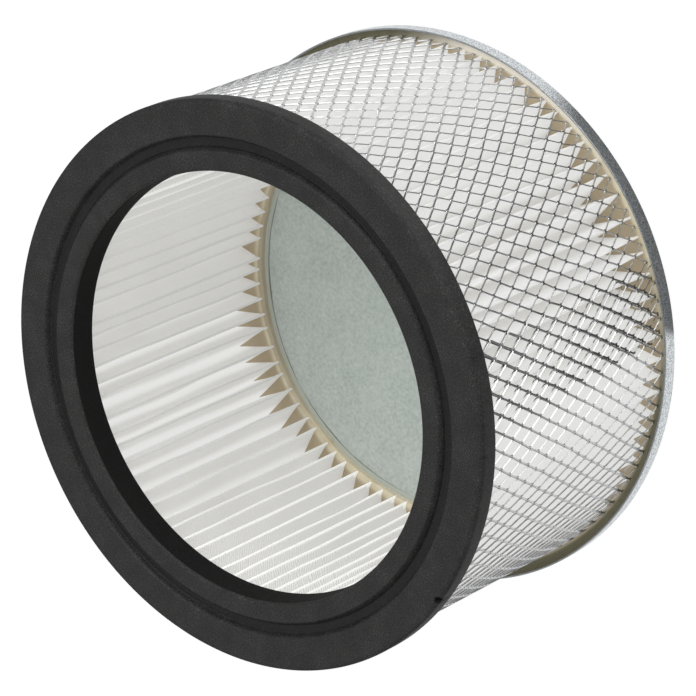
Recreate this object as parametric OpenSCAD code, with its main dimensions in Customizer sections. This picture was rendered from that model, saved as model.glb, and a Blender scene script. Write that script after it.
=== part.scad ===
// Cartridge filter of an ash vacuum cleaner, standing on its closed end.
// Five pieces: a pressed steel end cap, a ring of adhesive cast in it, the pleated fleece,
// a sleeve of expanded metal round the pleats, and a moulded ring round the open end.
// Millimetres. +Z runs along the axis, from the closed end at z = 0 to the open end.

/* [Overall] */
// Height over both ends
height = 86; // [70:1:120]

/* [End ring] */
// Radial thickness of the ring's wall outside the lapped sleeve
ring_wall = 0.3; // [0.2:0.1:4]
// How far the ring reaches in past the inner folds, to the bore that slips over the cleaner's collar
ring_lip = 1.9; // [1.6:0.1:6]
// Height of the ring's outer wall
ring_side = 6.1; // [5:0.1:10]
// Height of the ring's bore wall
ring_bore_wall = 8.3; // [7:0.1:12]
// Rounding of the outer edge of the sealing face
ring_edge_r = 1.6; // [0.5:0.1:2.5]
// Rounding of the edge of the bore
bore_edge_r = 0.8; // [0.3:0.1:1.5]
// Radial width of the inner land of the sealing face
land_w = 4.9; // [2.5:0.1:6]
// Width of the groove between the inner and the outer land
groove_w = 4.1; // [3:0.1:6]
// Depth of the groove
groove_depth = 1.8; // [0.5:0.1:2.6]
// How far each side of the groove slopes in towards its foot
groove_slope = 1.0; // [0:0.1:1.5]

/* [Pleated media] */
// Number of pleats
pleats = 85; // [60:1:100]
// Diameter over the outer folds
media_od = 151.8; // [140:0.2:152]
// Diameter inside the inner folds
media_id = 121.8; // [121:0.2:128]
// Thickness of the fleece
fleece_t = 0.6; // [0.4:0.1:0.8]
// Half of the open gap that each fold closes on
fold_gap = 0.25; // [0.15:0.05:0.4]
// Height of the media's lower end above the standing face
media_foot = 1.2; // [0.8:0.1:2]
// Depth of the media's upper end below the sealing face
media_head = 4.0; // [3.4:0.1:5]

/* [Mesh sleeve] */
// Diamonds round the sleeve
mesh_around = 28; // [24:1:30]
// Thickness of the expanded metal
mesh_t = 0.6; // [0.4:0.1:0.6]
// Width of each strand
strand_w = 1.6; // [1:0.1:2.4]
// Half length of the bond where two strands meet
bond_half = 0.5; // [0.2:0.1:1]
// How far inside the lowest bonds the sheet is cut off
end_cut = 0.3; // [0.2:0.1:1]
// Height of a whole diamond
diamond_h = 32.56; // [24:0.04:44]
// Clearance between the outer folds and the sleeve
sleeve_gap = 0.1; // [0.05:0.05:0.2]
// Direction in which the middle of the lapped seam lies, degrees from +X
seam_at = 250.7; // [0:0.1:359.9]
// Width of the lap, degrees
seam_lap = 19.5; // [12:0.5:30]
// How much the lapping end of the sheet falls short of the other at top and bottom
lap_short = 0.2; // [0.1:0.1:0.5]

/* [End cap] */
// Clearance between the lapped sleeve and the cap's rim
rim_gap = 1.3; // [0.8:0.1:6]
// Height of the cap's upturned rim
cap_rim = 5; // [4.6:0.1:8]
// Thickness of the steel sheet
cap_t = 0.5; // [0.4:0.1:0.8]
// Outer radius of the bend between the disc and the rim
cap_bend_r = 1.2; // [1:0.1:3]

/* [Adhesive] */
// Height of the adhesive's surface above the standing face
glue_level = 2.6; // [2.2:0.1:4]
// How far the adhesive reaches in past the inner folds
glue_shelf = 0.6; // [0.5:0.1:8]
// Rounding of the adhesive's inner edge
glue_edge_r = 0.5; // [0.3:0.1:2]
// How far the adhesive creeps up the cap's rim
glue_creep = 1.0; // [0.2:0.1:1.2]

/* [Hidden] */

$fn = 180;
over = 1;

fold_out_r = media_od / 2;
fold_in_r = media_id / 2;
media_top = height - media_head;
pleat_step = 360 / pleats;

sleeve_in_r = fold_out_r + sleeve_gap;
sleeve_out_r = sleeve_in_r + mesh_t;
// The two layers of the lap are welded, so the outer one bites a little into the inner one.
lap_in_r = sleeve_out_r - 0.1;
lap_out_r = sleeve_out_r + mesh_t;
lap_foot = media_foot + lap_short;
lap_top = media_top - lap_short;
mesh_step = 360 / mesh_around;
// The gaps lie on levels half a diamond apart, the first just below the sheet's lower end.
level_h = diamond_h / 2;
last_level = ceil((media_top - media_foot) / level_h);
diamond_half_w = PI * sleeve_in_r / mesh_around;
// A gap is the diamond between strand centre lines, drawn in by half a strand on every side.
gap_share = 1 - strand_w / 2 * norm([diamond_half_w, level_h]) / (diamond_half_w * level_h);
gap_half_w = diamond_half_w * gap_share;
gap_half_h = level_h * gap_share;

ring_r = lap_out_r + ring_wall;
bore_r = fold_in_r - ring_lip;
groove_in_r = bore_r + land_w;
groove_out_r = groove_in_r + groove_w;

glue_in_r = fold_in_r - glue_shelf;
glue_out_r = lap_out_r + rim_gap;
cap_r = glue_out_r + cap_t;

function polar(r, a) = [r * cos(a), r * sin(a)];
// Angle that a distance along the circle of radius r spans.
function arc_angle(distance, r) = distance / r * 180 / PI;

// What is cut off a corner at the origin, of a profile that lies below and left of it,
// to leave an arc of radius r there.
module corner_round(r) {
    difference() {
        translate([-r, -r]) square(r + over);
        translate([-r, -r]) circle(r);
    }
}

// End ring

// Half section of the ring: a sealing face in two lands with a groove between them.
// The underside rises from the bore to the outer wall.
module ring_section() {
    difference() {
        polygon([
            [bore_r, height - ring_bore_wall],
            [ring_r, height - ring_side],
            [ring_r, height],
            [bore_r, height]
        ]);
        translate([ring_r, height]) corner_round(ring_edge_r);
        translate([bore_r, height]) mirror([1, 0]) corner_round(bore_edge_r);
        polygon([
            [groove_in_r, height + over],
            [groove_in_r, height],
            [groove_in_r + groove_slope, height - groove_depth],
            [groove_out_r - groove_slope, height - groove_depth],
            [groove_out_r, height],
            [groove_out_r, height + over]
        ]);
    }
}

module end_ring() {
    color("#3a3a3c")
    difference() {
        rotate_extrude() ring_section();
        pleats_solid();
        sleeve_pocket();
    }
}

// The slot in the ring's underside that takes the upper end of the sleeve, wider at the lap.
module sleeve_pocket() {
    pocket_foot = height - ring_bore_wall - over;
    rotate_extrude()
        translate([sleeve_in_r, pocket_foot]) square([mesh_t, media_top - pocket_foot]);
    rotate([0, 0, seam_at - seam_lap / 2])
        rotate_extrude(angle = seam_lap)
            translate([lap_in_r, pocket_foot]) square([lap_out_r - lap_in_r, lap_top - pocket_foot]);
}

// Pleated media

// Half widths, along the circle, of a fold's closed side and of its open side.
fold_closed = fold_gap + fleece_t;
fold_open = fold_gap;

function fold_pair(r, half_w, at) = [polar(r, at - arc_angle(half_w, r)), polar(r, at + arc_angle(half_w, r))];

// The fleece's face that looks outwards, and the one that looks to the axis.
outward_face = [
    for (i = [0 : pleats - 1])
        each concat(
            fold_pair(fold_out_r, fold_closed, i * pleat_step),
            fold_pair(fold_in_r + fleece_t, fold_open, (i + 0.5) * pleat_step)
        )
];
inward_face = [
    for (i = [0 : pleats - 1])
        each concat(
            fold_pair(fold_out_r - fleece_t, fold_open, i * pleat_step),
            fold_pair(fold_in_r, fold_closed, (i + 0.5) * pleat_step)
        )
];

module pleats_solid() {
    translate([0, 0, media_foot])
        linear_extrude(media_top - media_foot)
            difference() {
                polygon(outward_face);
                polygon(inward_face);
            }
}

module pleated_media() {
    color("#e6e6e2") pleats_solid();
}

// Mesh sleeve

// One gap of the net as a plug through the wall: a diamond whose tips are cut flat by the bonds.
module gap_plug(r) {
    translate([r - over, 0, 0])
        rotate([90, 0, 90])
            linear_extrude(mesh_t + 2 * over)
                polygon([
                    [-gap_half_w, 0],
                    [-bond_half / 2, bond_half - gap_half_h],
                    [bond_half / 2, bond_half - gap_half_h],
                    [gap_half_w, 0],
                    [bond_half / 2, gap_half_h - bond_half],
                    [-bond_half / 2, gap_half_h - bond_half]
                ]);
}

// Plugs of one level, for the columns from first to last. Every other level is half a step on.
module gap_level(r, level, first, last) {
    for (i = [first : last])
        rotate([0, 0, (i + (level % 2) / 2) * mesh_step])
            translate([0, 0, media_foot - end_cut + level * level_h])
                gap_plug(r);
}

// The rolled sheet from its lower end up to top, with the gaps of the levels from 0 to last.
module net(top, last) {
    difference() {
        rotate_extrude()
            translate([sleeve_in_r, media_foot]) square([mesh_t, top - media_foot]);
        for (level = [0 : last]) gap_level(sleeve_in_r, level, 0, mesh_around - 1);
    }
}

// The end of the sheet that laps over its start, with its diamonds out of step with those below.
module lap(top, last) {
    columns = ceil(seam_lap / mesh_step / 2) + 1;
    rotate([0, 0, seam_at])
        difference() {
            rotate([0, 0, -seam_lap / 2])
                rotate_extrude(angle = seam_lap)
                    translate([lap_in_r, lap_foot]) square([lap_out_r - lap_in_r, top - lap_foot]);
            for (level = [0 : last]) gap_level(sleeve_out_r, level, -columns, columns);
        }
}

module mesh_sleeve() {
    color("#a9adb0") {
        net(media_top, last_level);
        lap(lap_top, last_level);
    }
}

// Potting adhesive

// Half section: level between the pleats, rounded to the disc inside and creeping up the rim outside.
module glue_section() {
    difference() {
        union() {
            translate([glue_in_r, cap_t]) square([glue_out_r - glue_in_r, glue_level - cap_t]);
            difference() {
                translate([glue_out_r - glue_creep, glue_level]) square(glue_creep);
                translate([glue_out_r - glue_creep, glue_level + glue_creep]) circle(glue_creep);
            }
        }
        translate([glue_in_r, glue_level]) mirror([1, 0]) corner_round(glue_edge_r);
        translate([glue_out_r, cap_t]) mirror([0, 1]) corner_round(cap_bend_r - cap_t);
    }
}

module potting_adhesive() {
    color("#d9cba6")
    difference() {
        rotate_extrude() glue_section();
        pleats_solid();
        net(glue_level + 2 * over, 1);
        lap(glue_level + 2 * over, 1);
    }
}

// End cap

// Half section of the pan: the disc, the bend and the upturned rim.
module cap_section() {
    difference() {
        square([cap_r, cap_rim]);
        translate([cap_r, 0]) mirror([0, 1]) corner_round(cap_bend_r);
        difference() {
            translate([-over, cap_t]) square([glue_out_r + over, cap_rim]);
            translate([glue_out_r, cap_t]) mirror([0, 1]) corner_round(cap_bend_r - cap_t);
        }
    }
}

module end_cap() {
    color("#b4bcbe")
    rotate_extrude() cap_section();
}

end_ring();
pleated_media();
mesh_sleeve();
potting_adhesive();
end_cap();
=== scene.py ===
import math

import bpy
import numpy as np
from mathutils import Matrix, Vector


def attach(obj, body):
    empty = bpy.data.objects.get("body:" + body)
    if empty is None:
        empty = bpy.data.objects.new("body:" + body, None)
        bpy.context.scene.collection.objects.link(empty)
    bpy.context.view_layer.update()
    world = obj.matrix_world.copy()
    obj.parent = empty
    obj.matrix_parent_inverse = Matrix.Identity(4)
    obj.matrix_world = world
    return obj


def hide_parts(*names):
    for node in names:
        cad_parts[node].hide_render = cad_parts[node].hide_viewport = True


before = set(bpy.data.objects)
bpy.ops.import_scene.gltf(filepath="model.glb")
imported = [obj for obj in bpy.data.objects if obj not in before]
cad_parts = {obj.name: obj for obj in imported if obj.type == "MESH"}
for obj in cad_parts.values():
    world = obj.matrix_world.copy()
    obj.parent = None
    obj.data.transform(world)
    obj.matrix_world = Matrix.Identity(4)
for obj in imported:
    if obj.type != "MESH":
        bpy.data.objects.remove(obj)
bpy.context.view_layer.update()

MM = 0.001

# Camera
# A long lens looks down at the filter from in front, rolled so far over that the filter seems to lie
# on its side with its open end to the left, as in the photograph.
camera = bpy.data.objects.new("camera", bpy.data.cameras.new("camera"))
bpy.context.scene.collection.objects.link(camera)
bpy.context.scene.camera = camera
camera.data.sensor_width = 36
camera.data.lens = 208.0
camera.data.shift_y = 0.001
camera_right = Vector((-0.40109, -0.68248, -0.61103))
camera_up = Vector((0.91604, -0.29789, -0.26858))
camera_back = camera_right.cross(camera_up).normalized()
camera.matrix_world = (
    Matrix.Translation(Vector((0, -720.9, 845.4)) * MM)
    @ Matrix((camera_right, camera_up, camera_back)).transposed().to_4x4()
)


# Floor, backdrop and lamps
# The filter stands on a plain white table. Soft lamps stand round it, as for a catalogue picture: one
# high on the left, a strip low on the far right that draws the bright arcs on the ring, and one in front.


class Link:
    """An output of a node, with the arithmetic that the finishes use."""

    def __init__(self, nodes, socket):
        self.nodes, self.socket = nodes, socket

    def __add__(self, other):
        return self.nodes.maths("ADD", self, other)

    def __sub__(self, other):
        return self.nodes.maths("SUBTRACT", self, other)

    def __rsub__(self, other):
        return self.nodes.maths("SUBTRACT", other, self)

    def __mul__(self, other):
        return self.nodes.maths("MULTIPLY", self, other)

    def __truediv__(self, other):
        return self.nodes.maths("DIVIDE", self, other)

    __radd__, __rmul__ = __add__, __mul__


class Nodes:
    """A node tree that is written as expressions on its Links."""

    def __init__(self, tree):
        self.tree = tree
        tree.nodes.clear()

    def add(self, kind, settings=(), sockets=(), output=0):
        """A new node: its settings first, then the values or Links of its sockets. Gives one output."""
        node = self.tree.nodes.new(kind)
        for name, value in dict(settings).items():
            if name == "stops":
                while len(node.color_ramp.elements) < len(value):
                    node.color_ramp.elements.new(1)
                for stop, (position, colour) in zip(node.color_ramp.elements, value):
                    stop.position, stop.color = position, (*colour, 1)
            else:
                setattr(node, name, value)
        for name, value in dict(sockets).items():
            if isinstance(value, Link):
                self.tree.links.new(value.socket, node.inputs[name])
            else:
                node.inputs[name].default_value = value
        return Link(self, node.outputs[output]) if len(node.outputs) else node

    def maths(self, operation, *values):
        return self.add("ShaderNodeMath", {"operation": operation}, dict(enumerate(values)))

    def within(self, value, low, high):
        """0 where value is at low or beyond it, 1 at high, smooth between."""
        return self.add(
            "ShaderNodeMapRange",
            {"interpolation_type": "SMOOTHSTEP"},
            {"Value": value, "From Min": low, "From Max": high},
        )

    def blend(self, share, first, second):
        """Colour between first, at share 0, and second."""
        return self.add(
            "ShaderNodeMix", {"data_type": "RGBA"}, {0: share, 6: first, 7: second}, output=2
        )

    def place(self):
        """The spot on the object as a vector, and its x, y and z in millimetres."""
        spot = self.add("ShaderNodeTexCoord", output="Object")
        split = [self.add("ShaderNodeSeparateXYZ", {}, {0: spot}, output=axis) for axis in "XYZ"]
        return spot, *(part * (1 / MM) for part in split)

    def distance(self, x, y):
        """Distance of the point x, y from the axis."""
        return self.maths("SQRT", x * x + y * y)

    def bearing(self, x, y):
        """Degrees from the front round to the point x, y, anticlockwise seen from above."""
        return self.maths("ARCTAN2", x, -1 * y) * (180 / math.pi)

    def noise(self, place, size, detail=2.0, rough=0.5, w=None):
        """Noise from 0 to 1 whose grains are about size millimetres."""
        sockets = {"Vector": place, "Scale": 1 / (size * MM), "Detail": detail, "Roughness": rough}
        if w is not None:
            sockets["W"] = w
        return self.add("ShaderNodeTexNoise", {"noise_dimensions": "3D" if w is None else "4D"}, sockets)


def grey(level):
    return (level, level, level, 1)


table = bpy.data.meshes.new("table")
table_half, table_drop = 3.0, 0.05 * MM
table.from_pydata(
    [(x * table_half, y * table_half, -table_drop) for x, y in ((-1, -1), (1, -1), (1, 1), (-1, 1))],
    [],
    [(0, 1, 2, 3)],
)
floor = bpy.data.objects.new("floor", table)
bpy.context.scene.collection.objects.link(floor)

floor_finish = bpy.data.materials.new("white_table")
floor_finish.use_nodes = True
nodes = Nodes(floor_finish.node_tree)
seen = nodes.add("ShaderNodeLightPath", output="Is Camera Ray")
mirrored = nodes.add("ShaderNodeLightPath", output="Is Glossy Ray")
# Gloss shows the unlit side of the studio as a dark wedge of the table near the filter, and far off a
# dark table that mirrors the window.
window_rise, window_fall = (3, 8), (48, 40)
table_white, near_light, near_dark, far_dark, window_level = 1.03, 0.92, 0.12, 0.26, 2.6
_, x, y, _ = nodes.place()
bearing = nodes.bearing(x, y)
far = nodes.within(nodes.distance(x, y), 130, 170)
unlit = nodes.within(bearing, -26, -23) * nodes.within(bearing, 34, 22)
window = nodes.within(bearing, *window_rise) * nodes.within(bearing, *window_fall)
near_look = nodes.blend(unlit, grey(near_light), grey(near_dark))
far_look = nodes.blend(window, grey(far_dark), grey(window_level))
shown = nodes.blend(mirrored, grey(table_white), nodes.blend(far, near_look, far_look))
lit = nodes.add("ShaderNodeBsdfDiffuse", {}, {"Color": grey(0.8)})
glow = nodes.add("ShaderNodeEmission", {}, {"Color": shown})
surface = nodes.add("ShaderNodeMixShader", {}, {0: seen * 0.93 + mirrored, 1: lit, 2: glow})
nodes.add("ShaderNodeOutputMaterial", {}, {"Surface": surface})
table.materials.append(floor_finish)

studio = bpy.data.worlds.new("studio")
bpy.context.scene.world = studio
studio.use_nodes = True
nodes = Nodes(studio.node_tree)
seen = nodes.add("ShaderNodeLightPath", output="Is Camera Ray")
mirrored = nodes.add("ShaderNodeLightPath", output="Is Glossy Ray")
towards = nodes.add("ShaderNodeTexCoord", output="Generated")
x, y, z = (nodes.add("ShaderNodeSeparateXYZ", {}, {0: towards}, output=axis) for axis in "XYZ")
# Gloss shows a dark room round the filter, with a wide window of light low on the right.
room_dark, overhead_level, sky_level = 0.24, 0.71, 0.94
bearing = nodes.bearing(x, y)
overhead = nodes.within(z, 0.3, 0.55)
window = nodes.within(bearing, *window_rise) * nodes.within(bearing, *window_fall)
window = window * nodes.within(z, 0.4, 0.3)
room = room_dark + overhead * overhead_level + window * window_level
level = nodes.maths("MAXIMUM", seen, (1 - seen) * ((1 - mirrored) * sky_level + mirrored * room))
sky = nodes.add("ShaderNodeBackground", {}, {"Color": grey(1.0), "Strength": level})
nodes.add("ShaderNodeOutputWorld", {}, {"Surface": sky})

lamp_target = Vector((0, 0, 0.043))
for name, aim, distance, width, height, watts in (
    ("lamp_left", (0.70, -0.40, 0.88), 1.2, 0.55, 0.55, 3.6),
    ("lamp_right", (0.655, -0.74, 0.17), 1.2, 0.26, 0.18, 2.2),
    ("lamp_front", (0.0, -0.98, 0.22), 1.2, 0.12, 0.20, 0.4),
):
    lamp = bpy.data.lights.new(name, "AREA")
    lamp.shape = "RECTANGLE"
    lamp.size, lamp.size_y = width, height
    lamp.energy = watts
    holder = bpy.data.objects.new(name, lamp)
    bpy.context.scene.collection.objects.link(holder)
    aim = Vector(aim).normalized()
    holder.location = lamp_target + aim * distance
    holder.rotation_euler = aim.to_track_quat("Z", "Y").to_euler()

bpy.context.scene.view_settings.view_transform = "Standard"


# End cap
# A pan pressed from galvanised sheet steel: a flat disc with a rim turned up all round its edge. The
# zinc is bright and speckled on the rim and a dull grey-green on the disc inside, where it is grained.


def piece(name, points, faces, finish, smooth_below=None, body="root"):
    """A mesh object of the filter, from points in millimetres, that rides on the body."""
    mesh = bpy.data.meshes.new(name)
    mesh.from_pydata((np.asarray(points) * MM).tolist(), [], faces)
    mesh.validate()
    if smooth_below is not None:
        mesh.polygons.foreach_set("use_smooth", [True] * len(mesh.polygons))
        mesh.set_sharp_from_angle(angle=math.radians(smooth_below))
    mesh.materials.append(finish)
    made = bpy.data.objects.new(name, mesh)
    bpy.context.scene.collection.objects.link(made)
    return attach(made, body)


def principled(name, **fixed):
    """A finish whose fixed values are set on the shader's own sockets. Gives the nodes and the material."""
    material = bpy.data.materials.new(name)
    material.use_nodes = True
    nodes = Nodes(material.node_tree)
    shader = material.node_tree.nodes.new("ShaderNodeBsdfPrincipled")
    output = material.node_tree.nodes.new("ShaderNodeOutputMaterial")
    material.node_tree.links.new(shader.outputs[0], output.inputs[0])
    for socket, value in fixed.items():
        shader.inputs[socket.replace("_", " ")].default_value = value
    return nodes, shader, material


def feed(shader, nodes, **links):
    """Links of what varies over the surface, to the shader's sockets of those names."""
    for socket, link in links.items():
        nodes.tree.links.new(link.socket, shader.inputs[socket.replace("_", " ")])


def arc(centre, radius, start, end, steps):
    """Points of a profile's rounding, between two directions in degrees."""
    return [
        (centre[0] + radius * math.cos(math.radians(a)), centre[1] + radius * math.sin(math.radians(a)))
        for a in np.linspace(start, end, steps + 1)
    ]


def lathe(profile, turns, shape=None):
    """Points and faces of a closed profile turned about the axis, at each of the turns in degrees.
    shape(turn, r, z) may give each turned point another r and z."""
    r, z = np.array(profile, float).T
    round_axis = np.radians(turns)[:, None]
    rr, zz = np.broadcast_to(r, (len(turns), len(r))), np.broadcast_to(z, (len(turns), len(z)))
    if shape:
        rr, zz = shape(np.asarray(turns)[:, None] + 0 * rr, rr, zz)
    points = np.stack([rr * np.cos(round_axis), rr * np.sin(round_axis), zz], -1).reshape(-1, 3)
    count = len(profile)
    here = np.arange(len(turns))[:, None] * count
    there = np.roll(here, -1, 0)
    this, following = np.arange(count)[None], np.roll(np.arange(count), -1)[None]
    faces = np.stack([here + this, there + this, there + following, here + following], -1)
    return points, faces.reshape(-1, 4).tolist()


def ripple(turn, sizes, seed):
    """A smooth value that goes round with the turn in degrees, from {waves round: size}."""
    phases = np.random.default_rng(seed).uniform(0, 2 * math.pi, len(sizes))
    turn = np.radians(turn)
    return sum(size * np.sin(waves * turn + phase) for (waves, size), phase in zip(sizes.items(), phases))


cap_radius, cap_height, steel = 78.95, 5.0, 0.5
bend, lip = 1.2, 0.2

nodes, shader, zinc = principled("galvanised_steel", Specular_IOR_Level=0.5)
place, _, _, z = nodes.place()
# Only the disc's upper face is dull. The top of the rim is dark: partly the sheet's duller cut edge,
# partly painted shade for the dark line along the rim's top.
inside = nodes.within(z, steel + 0.3, steel + 0.08) * nodes.within(z, steel - 0.2, steel - 0.08)
cut_edge_and_shade = nodes.within(z, cap_height - 0.28, cap_height - 0.14)
grain = nodes.noise(place, 0.9, 3, 0.6)
speckle = nodes.noise(place, 0.35, 1, 0.5)
bloom = nodes.noise(place, 9, 3, 0.6)
rim_colour = nodes.add(
    "ShaderNodeValToRGB",
    {"stops": [(0.35, (0.34, 0.37, 0.39)), (0.5, (0.62, 0.66, 0.68)), (0.66, (0.90, 0.92, 0.93))]},
    {0: speckle},
)
disc_colour = nodes.add(
    "ShaderNodeValToRGB",
    {"stops": [(0.3, (0.40, 0.46, 0.43)), (0.5, (0.52, 0.575, 0.545)), (0.7, (0.62, 0.665, 0.64))]},
    {0: grain * 0.7 + bloom * 0.3},
)
bump = nodes.add(
    "ShaderNodeBump",
    {},
    {
        "Strength": 0.55,
        "Distance": 0.25 * MM,
        "Height": speckle * (1 - inside) * 0.5 + grain * inside * 1.6,
    },
)
feed(
    shader,
    nodes,
    Base_Color=nodes.blend(
        cut_edge_and_shade * 0.8, nodes.blend(inside, rim_colour, disc_colour), (0.20, 0.21, 0.22, 1)
    ),
    Metallic=0.92 - inside * 0.72,
    Roughness=0.24 + inside * 0.38 + speckle * 0.12,
    Normal=bump,
)

rim_foot = 3.4
cap_profile = (
    [(0.01, 0), (20, 0), (40, 0), (60, 0), (76, 0)]
    + arc((cap_radius - bend, bend), bend, -90, 0, 6)
    + [(cap_radius, rim_foot)]
    + arc((cap_radius - lip, cap_height - lip), lip, 0, 90, 3)
    + arc((cap_radius - steel + lip, cap_height - lip), lip, 90, 180, 3)
    + [(cap_radius - steel, rim_foot)]
    + arc((cap_radius - bend, bend), bend - steel, 0, -90, 5)
    + [(r, steel) for r in (70, 60, 50, 40, 30, 20, 10, 0.01)]
)
turns = np.arange(0, 360, 0.75)


def oval(turn):
    """How far the rim lies inside its circle, in the direction of the turn in degrees."""
    turn = np.radians(turn)
    return 0.36 * np.cos(turn) ** 2 - 0.12 * np.cos(turn)


def settle_cap(turn, r, z):
    """The rim is not quite round, and the disc not quite flat inside."""
    outer = np.clip((z - 1.5) / 3.5, 0, 1) * (r > 77)
    on_disc = (z > steel - 0.1) & (z < steel + 0.1)
    sag = 0.06 * np.sin(np.radians(3 * turn) + r / 17) * on_disc * np.clip(r / 10, 0, 1)
    dents = 0.05 + ripple(turn, {5: 0.03, 11: 0.02}, 3)
    return r - outer * dents - oval(turn) * (r > 75), z + sag


points, faces = lathe(cap_profile, turns, settle_cap)
cap = piece("cap", points, faces, zinc, smooth_below=40)
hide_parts("end_cap")


# Potting adhesive
# A cream two-part resin, poured into the cap. The lower ends of the pleats and of the sleeve stand in
# it. It has crept up the rim outside, and up each fold inside, and a thin film of it has run on over the
# disc. Its colour carries painted shade outside the sleeve at two places, between the folds, on one side
# of the inner fillet and along the film's edge, and a painted light band outside on the +x side.
nodes, shader, resin = principled("cream_resin", Specular_IOR_Level=0.45)
place, x, y, z = nodes.place()
cloud = nodes.noise(place, 5, 3, 0.55)
crumb = nodes.noise(place, 0.7, 2, 0.5)
radius = nodes.distance(x, y)
film = nodes.within(z, 0.95, 0.75)
# Painted shade: the resin outside the sleeve turns dark olive at two places round the rim.
sides = nodes.maths("MAXIMUM", nodes.within(x, -17, -54), nodes.within(x, 58, 73))
side_shade = nodes.within(radius, 74.6, 76.0) * sides
resin_colour = nodes.add(
    "ShaderNodeValToRGB",
    {"stops": [(0.3, (0.60, 0.52, 0.36)), (0.6, (0.71, 0.64, 0.47)), (0.8, (0.77, 0.71, 0.55))]},
    {0: cloud},
)
# Painted shade: the resin between the folds is tinted dark brown for the shade deep between them.
valley_shade = nodes.within(radius, 61.6, 63.5) * nodes.within(radius, 76.0, 74.5)
# Painted shadow: a dark line along the edge of the resin film on the disc.
film_shadow_line = nodes.within(radius, 59.35, 59.05)
film_colour = nodes.blend(film_shadow_line, (0.50, 0.54, 0.49, 1), (0.20, 0.21, 0.18, 1))
# Painted shade: one side of the inner resin fillet is turned brown, the side the light does not reach.
fillet_shade = nodes.within(x * 0.57 + y * 0.82, 25, 58) * nodes.within(radius, 62.0, 61.0)
fillet_shaded = nodes.blend(fillet_shade * 0.75, resin_colour, (0.36, 0.31, 0.22, 1))
# Painted light: the resin between the sleeve and the rim is lightened to pale cream on the +x side.
painted_light_band = nodes.within(radius, 74.8, 76.2) * nodes.within(x, 5, 40)
resin_lit_and_shaded = nodes.blend(painted_light_band, fillet_shaded, (0.86, 0.81, 0.70, 1))
valleys_shaded = nodes.blend(valley_shade * 0.85, resin_lit_and_shaded, (0.40, 0.32, 0.21, 1))
bump = nodes.add(
    "ShaderNodeBump",
    {},
    {"Strength": 0.5, "Distance": 0.3 * MM, "Height": cloud + crumb * 0.35},
)
feed(
    shader,
    nodes,
    Base_Color=nodes.blend(side_shade, nodes.blend(film, valleys_shaded, film_colour), (0.14, 0.13, 0.075, 1)),
    Roughness=0.34 + crumb * 0.25,
    Normal=bump,
)

resin_level, resin_inner, resin_outer = 2.6, 60.4, cap_radius - steel - 0.02
film_edge, film_height = 59.0, 0.1
resin_profile = (
    [(film_edge, steel - 0.02), (film_edge, steel + film_height), (resin_inner - 0.15, steel + film_height)]
    + [(resin_inner, steel + 0.4), (resin_inner, 1.8)]
    + arc((resin_inner + 0.6, resin_level - 0.6), 0.6, 180, 90, 4)
    + [(r, resin_level) for r in (61.8, 64, 67, 70, 73, 75.5, 76.8)]
    + [(77.4, resin_level + 0.15), (77.9, resin_level + 0.5), (78.2, resin_level + 0.9)]
    + [(resin_outer, resin_level + 1.2), (resin_outer, 1.8), (77.2, steel)]
)


def pour(turn, r, z):
    """The poured edge wanders, and the surface has settled in low swells."""
    edge = ripple(turn, {3: 0.12, 7: 0.10, 17: 0.07, 31: 0.05}, 11)
    swell = ripple(turn, {5: 0.10, 13: 0.08, 29: 0.06, 61: 0.05}, 12)
    near_edge = np.clip(resin_inner + 1 - r, 0, 1)
    upper = (z > 1.5) * (r < 77.5)
    return r + near_edge * edge - oval(turn) * (r > 77), z + upper * swell


points, faces = lathe(resin_profile, turns, pour)
adhesive = piece("adhesive", points, faces, resin, smooth_below=60)
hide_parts("potting_adhesive")


# Pleated media
# One strip of white polyester fleece, calendered with a fine emboss and folded into 85 pleats, its
# ends glued together. It is as stiff as card: the folds are sharp, the panels bow a little. Its weak
# emission stands for the light that is scattered on between the close folds.
nodes, shader, fleece = principled(
    "polyester_fleece",
    Roughness=0.85,
    Specular_IOR_Level=0.15,
    Emission_Strength=0.55,
)
place, x, y, height = nodes.place()
radius = nodes.distance(x, y)
fibres = nodes.noise(place, 0.5, 3, 0.65)
patch = nodes.noise(place, 14, 2, 0.5)
rib_pitch = 0.95
ribs = nodes.maths("SINE", height * (2 * math.pi / rib_pitch) + nodes.noise(place, 2.5, 1) * 12)
teeth = nodes.within(ribs + fibres * 2, 0.8, 1.9)
# The crest of each inner fold carries a painted highlight line, with teeth of painted highlight that
# run out over the panels. Where faint rises, the crests are painted as darker shadow lines instead.
faint = nodes.within(x * 0.34 + y * 0.94, 30, 58)
crest = nodes.within(radius, 61.3, 61.05) + nodes.within(radius, 62.2, 61.2) * teeth * 0.6
# Painted highlight: a bright spot on each inner fold just above the resin.
tip_glints = nodes.within(radius, 62.6, 61.8) * nodes.within(height, 4.6, 3.6)
# In one patch the emboss ribs stand higher in the bump, and their teeth also get painted highlight.
emboss_and_glints = (
    nodes.within(x, -18, -42) * nodes.within(y, -15, 10) * nodes.within(height, 30, 62)
    * nodes.within(radius, 70, 64)
)
fleece_colour = nodes.add(
    "ShaderNodeValToRGB",
    {"stops": [(0.3, (0.50, 0.497, 0.487)), (0.7, (0.55, 0.55, 0.54))]},
    {0: patch * 0.5 + fibres * 0.5},
)
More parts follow.
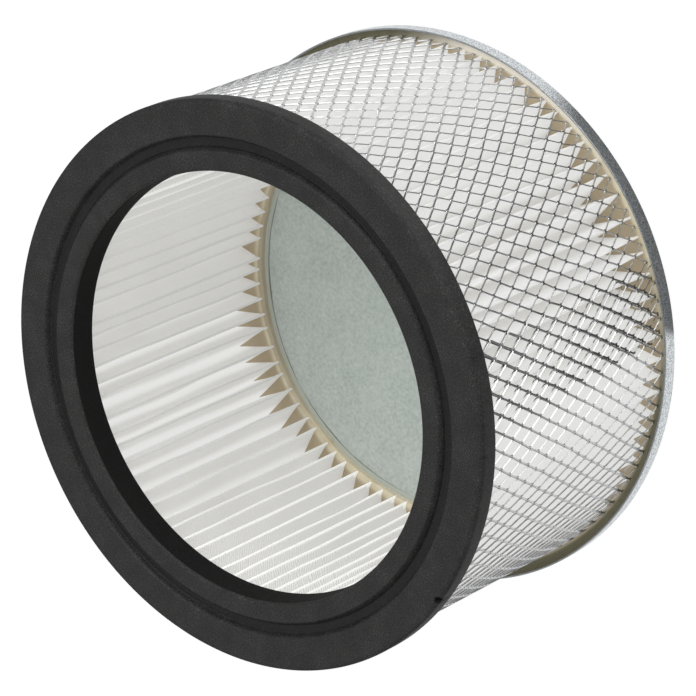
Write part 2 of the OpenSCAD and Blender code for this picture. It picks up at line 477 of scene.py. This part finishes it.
# lift gathers the painted highlights: the crest lines, the spots at the fold feet and the emboss patch.
lift = nodes.maths("MINIMUM", crest + tip_glints + emboss_and_glints * teeth * 0.45, 1.0)
outside = nodes.within(radius, 66, 71)
crest_colour = nodes.blend(faint, (0.80, 0.80, 0.79, 1), (0.44, 0.44, 0.43, 1))
crest_glow = nodes.blend(faint, (0.64, 0.64, 0.63, 1), (0.48, 0.48, 0.47, 1))
bump = nodes.add(
    "ShaderNodeBump",
    {},
    {"Strength": 0.5, "Distance": 0.2 * MM, "Height": fibres * 0.8 + ribs * (0.1 + emboss_and_glints * 0.3)},
)
feed(
    shader,
    nodes,
    Base_Color=nodes.blend(
        outside, nodes.blend(lift, fleece_colour, crest_colour), (0.28, 0.28, 0.275, 1)
    ),
    Emission_Color=nodes.blend(
        outside, nodes.blend(lift, (0.51, 0.505, 0.49, 1), crest_glow), (1.0, 1.0, 0.985, 1)
    ),
    Normal=bump,
)

pleats = 85
fleece_thickness, fold_radius = 0.36, 0.17
sleeve_radius = 75.75
fold_in = 60.55 + fleece_thickness / 2 + fold_radius
fold_out = sleeve_radius - 0.35 - fleece_thickness / 2 - fold_radius
fleece_foot, fleece_top = 1.6, 81.6
levels = np.linspace(fleece_foot, fleece_top, 26)
rng = np.random.default_rng(85)


def bulge(turn):
    """How far out of round the pack and its sleeve lie, in the direction of turn."""
    terms = ((1, -0.34, 0.15), (2, -0.23, 0.42), (3, 0.37, -0.26))
    aside = 1.5 * math.pi - turn
    return sum(s * np.sin(k * aside) + c * np.cos(k * aside) for k, s, c in terms)


def wander(size, knots=5):
    """For each pleat a value that changes slowly with the height, held still at the two potted ends."""
    at_knots = rng.normal(0, size, (pleats, knots))
    at_knots[:, 0] *= 0.3
    at_knots[:, -1] *= 0.3
    spot = np.linspace(0, knots - 1.001, len(levels))
    low = spot.astype(int)
    share = spot - low
    share = share * share * (3 - 2 * share)
    return at_knots[:, low] * (1 - share) + at_knots[:, low + 1] * share


step = 2 * math.pi / pleats
number = np.arange(pleats)[:, None]
tip_in = (number + 0.5) * step + rng.normal(0, 0.11 * step, (pleats, 1)) + wander(0.05 * step)
tip_out = number * step + rng.normal(0, 0.10 * step, (pleats, 1)) + wander(0.05 * step)
reach_in = fold_in + rng.uniform(0, 0.35, (pleats, 1)) + np.abs(wander(0.1))
reach_out = fold_out + bulge(tip_out) - rng.uniform(0, 0.4, (pleats, 1)) - np.abs(wander(0.15))
centre_in = reach_in[..., None] * np.stack([np.cos(tip_in), np.sin(tip_in)], -1)
centre_out = reach_out[..., None] * np.stack([np.cos(tip_out), np.sin(tip_out)], -1)


def panel_normal(start, end, side):
    """Direction from a fold's centre to where the panel leaves it, for a panel that crosses over between
    two folds that turn opposite ways."""
    along = end - start
    length = np.linalg.norm(along, axis=-1, keepdims=True)
    along = along / length
    lean = 2 * fold_radius / length
    across = side * np.stack([-along[..., 1], along[..., 0]], -1)
    return along * lean + across * np.sqrt(1 - lean**2)


def fold(centre, first, last, outward):
    """Points round a fold from direction first to direction last, on the side that outward points to."""
    start = np.arctan2(first[..., 1], first[..., 0])
    middle = np.arctan2(outward[..., 1], outward[..., 0])
    end = np.arctan2(last[..., 1], last[..., 0])
    start = middle + (start - middle + math.pi) % (2 * math.pi) - math.pi
    end = middle + (end - middle + math.pi) % (2 * math.pi) - math.pi
    turns = [start + (end - start) * s for s in np.linspace(0, 1, 5)]
    return [centre + fold_radius * np.stack([np.cos(t), np.sin(t)], -1) for t in turns]


def panel(start, end, normal, bow):
    """Points of the panel between two folds, its ends left out, bowed along its normal."""
    a, b = start + fold_radius * normal, end - fold_radius * normal
    return [
        a + (b - a) * s + normal * bow[..., None] * math.sin(math.pi * s) for s in (0.2, 0.5, 0.8)
    ]


next_out = np.roll(centre_out, -1, 0)
before_in = np.roll(centre_in, 1, 0)
down = panel_normal(centre_out, centre_in, 1)
rise = panel_normal(centre_in, next_out, -1)
rise_before = np.roll(rise, 1, 0)
radial_out = centre_out / np.linalg.norm(centre_out, axis=-1, keepdims=True)
radial_in = -centre_in / np.linalg.norm(centre_in, axis=-1, keepdims=True)
line = (
    fold(centre_out, -rise_before, down, radial_out)
    + panel(centre_out, centre_in, down, wander(0.14) + rng.normal(0, 0.1, (pleats, 1)))
    + fold(centre_in, -down, rise, radial_in)
    + panel(centre_in, next_out, rise, wander(0.14) + rng.normal(0, 0.1, (pleats, 1)))
)
line = np.stack(line, 1)
stations = line.shape[1] * pleats
line = line.reshape(stations, len(levels), 2)
run = np.roll(line, -1, 0) - np.roll(line, 1, 0)
run /= np.linalg.norm(run, axis=-1, keepdims=True)
sideways = np.stack([run[..., 1], -run[..., 0]], -1) * fleece_thickness / 2
ring_points = [
    np.concatenate([line + sideways * s, np.broadcast_to(levels[None, :, None], (*line.shape[:2], 1))], -1)
    for s in (1, -1)
]
points = np.concatenate([p.reshape(-1, 3) for p in ring_points])
count = len(levels)
here, rows = np.arange(stations)[:, None] * count, np.arange(count - 1)[None]
there = np.roll(here, -1, 0)
outer_faces = np.stack([here + rows, there + rows, there + rows + 1, here + rows + 1], -1).reshape(-1, 4)
inner_faces = outer_faces[:, ::-1] + stations * count
ends = []
for row, flip in ((0, 1), (count - 1, -1)):
    a, b = here[:, 0] + row, there[:, 0] + row
    quad = np.stack([a, a + stations * count, b + stations * count, b], -1)
    ends.append(quad[:, ::flip])
faces = np.concatenate([outer_faces, inner_faces, *ends]).tolist()
media = piece("pleats", points, faces, fleece, smooth_below=50)
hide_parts("pleated_media")


# Mesh sleeve
# Expanded steel, zinc plated: slit and stretched into diamonds 8 mm high and 4.8 mm wide, rolled round
# the pleats and lapped over its own start. It stands in the resin below and in the ring above.
nodes, shader, plated = principled("plated_mesh", Metallic=1.0)
place, x, y, _ = nodes.place()
dull = nodes.noise(place, 1.4, 2, 0.6)
mesh_colour = nodes.add(
    "ShaderNodeValToRGB",
    {"stops": [(0.3, (0.48, 0.485, 0.49)), (0.7, (0.68, 0.685, 0.69))]},
    {0: dull},
)
# The covered layer of the lap lies in the shade of the one on top, so it is darker.
around = nodes.bearing(x, y)
in_lap = nodes.within(around, -8, -10) * nodes.within(around, -29, -28)
covered = in_lap * nodes.within(nodes.distance(x, y), 76.7, 76.5)
mesh_colour = nodes.blend(covered, mesh_colour, (0.30, 0.30, 0.29, 1))
feed(shader, nodes, Base_Color=mesh_colour, Roughness=0.22 + dull * 0.16)

diamond_turn, diamond_rise = 3.65, 8.0
strand_width, strand_thickness = 0.58, 0.27
bond_half = 0.42
lap_rise = 0.8
lowest_row, top_row = 3.85, 20
# The strip runs from its covered start, anticlockwise seen from above, to its free end. Its bearings are
# degrees from the front, and fall on the way.
sleeve_start, sleeve_turned = 29.0, 379.5
sleeve_end = sleeve_start - sleeve_turned
tip_bearing = -57.7
rng = np.random.default_rng(41)

first_column = math.ceil((tip_bearing - sleeve_start) / (diamond_turn / 2))
last_column = math.floor((tip_bearing - sleeve_end) / (diamond_turn / 2))
columns = np.arange(first_column, last_column + 1)
node_shift = rng.normal(0, 0.06, (len(columns), top_row + 1, 2))
low_waves = rng.uniform(0, 2 * math.pi, 4)


def sleeve_place(column, row, across, along, lift):
    """Point of the rolled sheet: across and along are millimetres from the node, lift outwards."""
    bearing = tip_bearing - column * diamond_turn / 2
    rolled = (sleeve_start - bearing) / (sleeve_start - sleeve_end)
    over = np.clip((rolled - 0.80) / 0.14, 0, 1)
    height = lowest_row + row * diamond_rise / 2 + along
    # The sheet was stretched unevenly and rolled a little askew, which moves its bonds round.
    drift = np.interp(-bearing, (-29, -9, 0, 60, 300, 345), (-2.1, -1.85, -2.0, -0.9, -0.35, -0.25))
    askew = 0.018 * (1 - 0.75 * rolled) * (height - 45)
    shift = node_shift[column - first_column, row]
    turn = math.radians(270 - bearing - drift - askew)
    radius = sleeve_radius + bulge(turn) + lap_rise * over * over * (3 - 2 * over) + lift
    sway = 0.15 * np.sin(turn * 5 + row * 0.22 + low_waves[0])
    sway = sway + 0.08 * np.sin(turn * 11 - row * 0.35 + low_waves[1])
    turn = turn + (across + shift[0] + sway) / radius
    z = height + shift[1] + 0.3 * np.sin(turn * 4 + low_waves[2])
    return np.array([radius * math.cos(turn), radius * math.sin(turn), z])


strand_points, strand_faces = [], []


def strand(stations, tilts):
    """A flat wire through the stations, its width tilted out of the sheet by the tilts, in degrees."""
    start = len(strand_points)
    stations = np.array(stations)
    tangents = np.gradient(stations, axis=0)
    for spot, tangent, tilt in zip(stations, tangents, tilts):
        outward = np.array([spot[0], spot[1], 0]) / math.hypot(spot[0], spot[1])
        tangent = tangent / np.linalg.norm(tangent)
        beside = np.cross(tangent, outward)
        hoop = np.array([-outward[1], outward[0], 0])
        beside *= math.copysign(1, beside @ hoop) / np.linalg.norm(beside)
        c, s = math.cos(math.radians(tilt)), math.sin(math.radians(tilt))
        wide = (beside * c + outward * s) * strand_width / 2
        thick = (outward * c - beside * s) * strand_thickness / 2
        for u, v in ((-1, -1), (1, -1), (1, 1), (-1, 1)):
            strand_points.append(spot + u * wide + v * thick)
    for k in range(len(stations) - 1):
        for side in range(4):
            a, b = start + 4 * k + side, start + 4 * k + (side + 1) % 4
            strand_faces.append((a, b, b + 4, a + 4))
    last = start + 4 * (len(stations) - 1)
    strand_faces.append((start, start + 3, start + 2, start + 1))
    strand_faces.append((last, last + 1, last + 2, last + 3))


strand_tilt = 40
for column in columns[:-1]:
    for row in range(top_row):
        if (column + row) % 2:
            low, high, side = column + 1, column, -1
        else:
            low, high, side = column, column + 1, 1
        # A node's bearing falls as its column rises, and the hoop direction falls with the bearing.
        half = side * strand_width / 2
        strand(
            [
                sleeve_place(low, row, half, -bond_half, 0),
                sleeve_place(low, row, half, bond_half, 0),
                sleeve_place(high, row + 1, -half, -bond_half, 0),
                sleeve_place(high, row + 1, -half, bond_half, 0),
            ],
            (0, -side * strand_tilt, -side * strand_tilt, 0),
        )
sleeve = piece("sleeve", strand_points, strand_faces, plated, smooth_below=30)
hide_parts("mesh_sleeve")

# The cut edge at the upper end of each bond faces up and catches the light as a bright dot.
nodes, shader, bright = principled("bright_zinc", Metallic=1.0, Base_Color=grey(0.80), Roughness=0.3)
bead_points, bead_faces = [], []
bead_size, bead_sides = 0.24, 6
bead_steps, bead_top = ((0.0, 1.0), (0.4, 0.7)), 0.6
for column in columns:
    for row in range(top_row + 1):
        if (column + row) % 2:
            continue
        middle = sleeve_place(column, row, 0, bond_half + 0.1, 0.06)
        outward = middle * (1, 1, 0) / math.hypot(middle[0], middle[1])
        hoop = np.array([-outward[1], outward[0], 0])
        facing = outward * 0.7 + np.array([0, 0, 0.71])
        upward = np.cross(facing, hoop)
        start = len(bead_points)
        for lift, width in bead_steps:
            for k in range(bead_sides):
                a = 2 * math.pi * k / bead_sides
                rim = hoop * math.cos(a) + upward * math.sin(a)
                bead_points.append(middle + (facing * lift + rim * width) * bead_size)
        bead_points.append(middle + facing * bead_top * bead_size)
        for k in range(bead_sides):
            a, b = start + k, start + (k + 1) % bead_sides
            bead_faces.append((a, b, b + bead_sides, a + bead_sides))
            bead_faces.append((a + bead_sides, b + bead_sides, start + 2 * bead_sides))
beads = piece("plating_beads", bead_points, bead_faces, bright, smooth_below=180)


# End ring
# A ring of black polyurethane, moulded round the open end. Its face seals in the vacuum cleaner: two
# flat lands with a groove between them. It has a fine leathery grain, and a few air pits.
nodes, shader, rubber = principled("black_moulding", Specular_IOR_Level=0.18)
place, x, y, z = nodes.place()
radius = nodes.distance(x, y)
in_groove = nodes.within(radius, 63.75, 64.05) * nodes.within(radius, 68.15, 67.95)
in_groove = in_groove * nodes.within(z, 84.0, 84.3)
grain = nodes.noise(place, 0.4, 2, 0.6)
mottle = nodes.noise(place, 6, 3, 0.6)
# Streaks that run round the groove: the noise is drawn on the groove's middle circle.
groove_middle = 66.5 * MM
around = nodes.add(
    "ShaderNodeCombineXYZ",
    {},
    {"X": x / radius * groove_middle, "Y": y / radius * groove_middle, "Z": 0.0},
)
streaks = nodes.noise(around, 0.55, 2, 0.6, w=radius * MM)
in_bore = nodes.within(radius, 58.9, 58.6) * nodes.within(z, 85.4, 85.0)
deep_pit_x, deep_pit_y = -69.4, -33.4
in_pit = nodes.within(nodes.distance(x - deep_pit_x, y - deep_pit_y), 1.15, 0.8)
groove_floor = nodes.within(radius, 64.6, 65.1) * nodes.within(radius, 67.3, 66.9) * in_groove
# Painted shade: the bore wall, the groove floor and the deep pit are darkened nearly to black.
hollow_shade = nodes.maths("MAXIMUM", in_bore, nodes.maths("MAXIMUM", groove_floor * 0.8, in_pit))
dust = nodes.within(nodes.noise(place, 0.28, 1, 0.5), 0.72, 0.80)
ring_colour = nodes.add(
    "ShaderNodeValToRGB",
    {
        "stops": [
            (0.3, (0.008, 0.008, 0.0085)),
            (0.55, (0.024, 0.024, 0.0235)),
            (0.75, (0.065, 0.065, 0.064)),
        ]
    },
    {0: grain * 0.75 + mottle * 0.25},
)
bump = nodes.add(
    "ShaderNodeBump",
    {},
    {
        "Strength": 0.5,
        "Distance": 0.16 * MM,
        "Height": grain * (1 - in_groove * 0.6) * 0.7 + streaks * in_groove * 1.5,
    },
)
feed(
    shader,
    nodes,
    Base_Color=nodes.blend(
        hollow_shade * 0.9, nodes.blend(dust * 0.3, ring_colour, (0.35, 0.34, 0.32, 1)), grey(0.002)
    ),
    Roughness=0.50 + mottle * 0.1 - in_groove * 0.2 + in_bore * 0.3,
    Normal=bump,
)

face_level = 86.0
ring_outer, ring_bore = 77.5, 58.4
edge_round, bore_round, bead_round = 1.6, 1.3, 0.35
groove_depth, groove_run = 1.75, 1.0
lip_edge, land_edge = 64.0, 68.1
floor_level = face_level - groove_depth
ring_profile = (
    [(r, face_level) for r in np.linspace(land_edge + 0.12, ring_outer - edge_round - 0.1, 8)]
    + arc((ring_outer - edge_round, face_level - edge_round), edge_round, 90, 0, 9)
    + [(ring_outer, 83.2), (ring_outer, 81.8)]
    + arc((ring_outer - 0.4, 80.3), 0.4, 0, -80, 4)
    + [(74, 79.55), (69, 78.95), (64, 78.35)]
    + arc((ring_bore + 0.5, 77.8), 0.5, -85, -180, 4)
    + [(ring_bore, 80), (ring_bore, 82.5)]
    + arc((ring_bore + bore_round, face_level - bore_round), bore_round, 180, 90, 6)
    + [(61, face_level), (62.4, face_level)]
    + arc((lip_edge - 0.4, face_level - bead_round), bead_round, 90, 30, 4)
    + [(lip_edge + 0.25, face_level - 0.6), (lip_edge + groove_run - 0.2, floor_level + 0.35)]
    + arc((lip_edge + groove_run + 0.12, floor_level + 0.28), 0.28, 210, 270, 3)
    + [((lip_edge + land_edge) / 2, floor_level)]
    + arc((land_edge - groove_run - 0.12, floor_level + 0.28), 0.28, 270, 330, 3)
    + [(land_edge - 0.55, face_level - 0.95), (land_edge - 0.08, face_level - 0.16)]
)

# Pits as (degrees from the front, r, z, half width round, half length, depth). The degrees go round
# clockwise seen from above, as in the sleeve.
pits = (
    (64.2, 77.1, 85.6, 0.75, 0.9, 1.3),
    (31.2, 77.5, 84.9, 0.22, 0.75, 0.5),
    (-2.0, 71.4, 86.0, 0.2, 0.2, 0.25),
)


def pitted(turn, r, z):
    """Air pits in the moulding, pressed in along the ring's face or side."""
    r, z = r.copy(), z.copy()
    for at, pit_r, pit_z, half_width, half_length, depth in pits:
        away = (turn - (270 - at) + 180) % 360 - 180
        across = np.radians(away) * 77 / half_width
        along = np.hypot(r - pit_r, z - pit_z) / half_length
        dent = depth * np.exp(-((across**2 + along**2) ** 1.5))
        z -= dent * (z > 79)
        r -= dent * 0.6 * (r > 70)
    return r, z


# The ring is divided more finely at its pits.
near_pits = [(270 - pit[0] + np.linspace(-1.2, 1.2, 25)) % 360 for pit in pits]
ring_turns = np.unique(np.concatenate([turns, *near_pits]).round(4))
points, faces = lathe(ring_profile, ring_turns, pitted)
ring = piece("ring", points, [face[::-1] for face in faces], rubber, smooth_below=35)
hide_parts("end_ring")
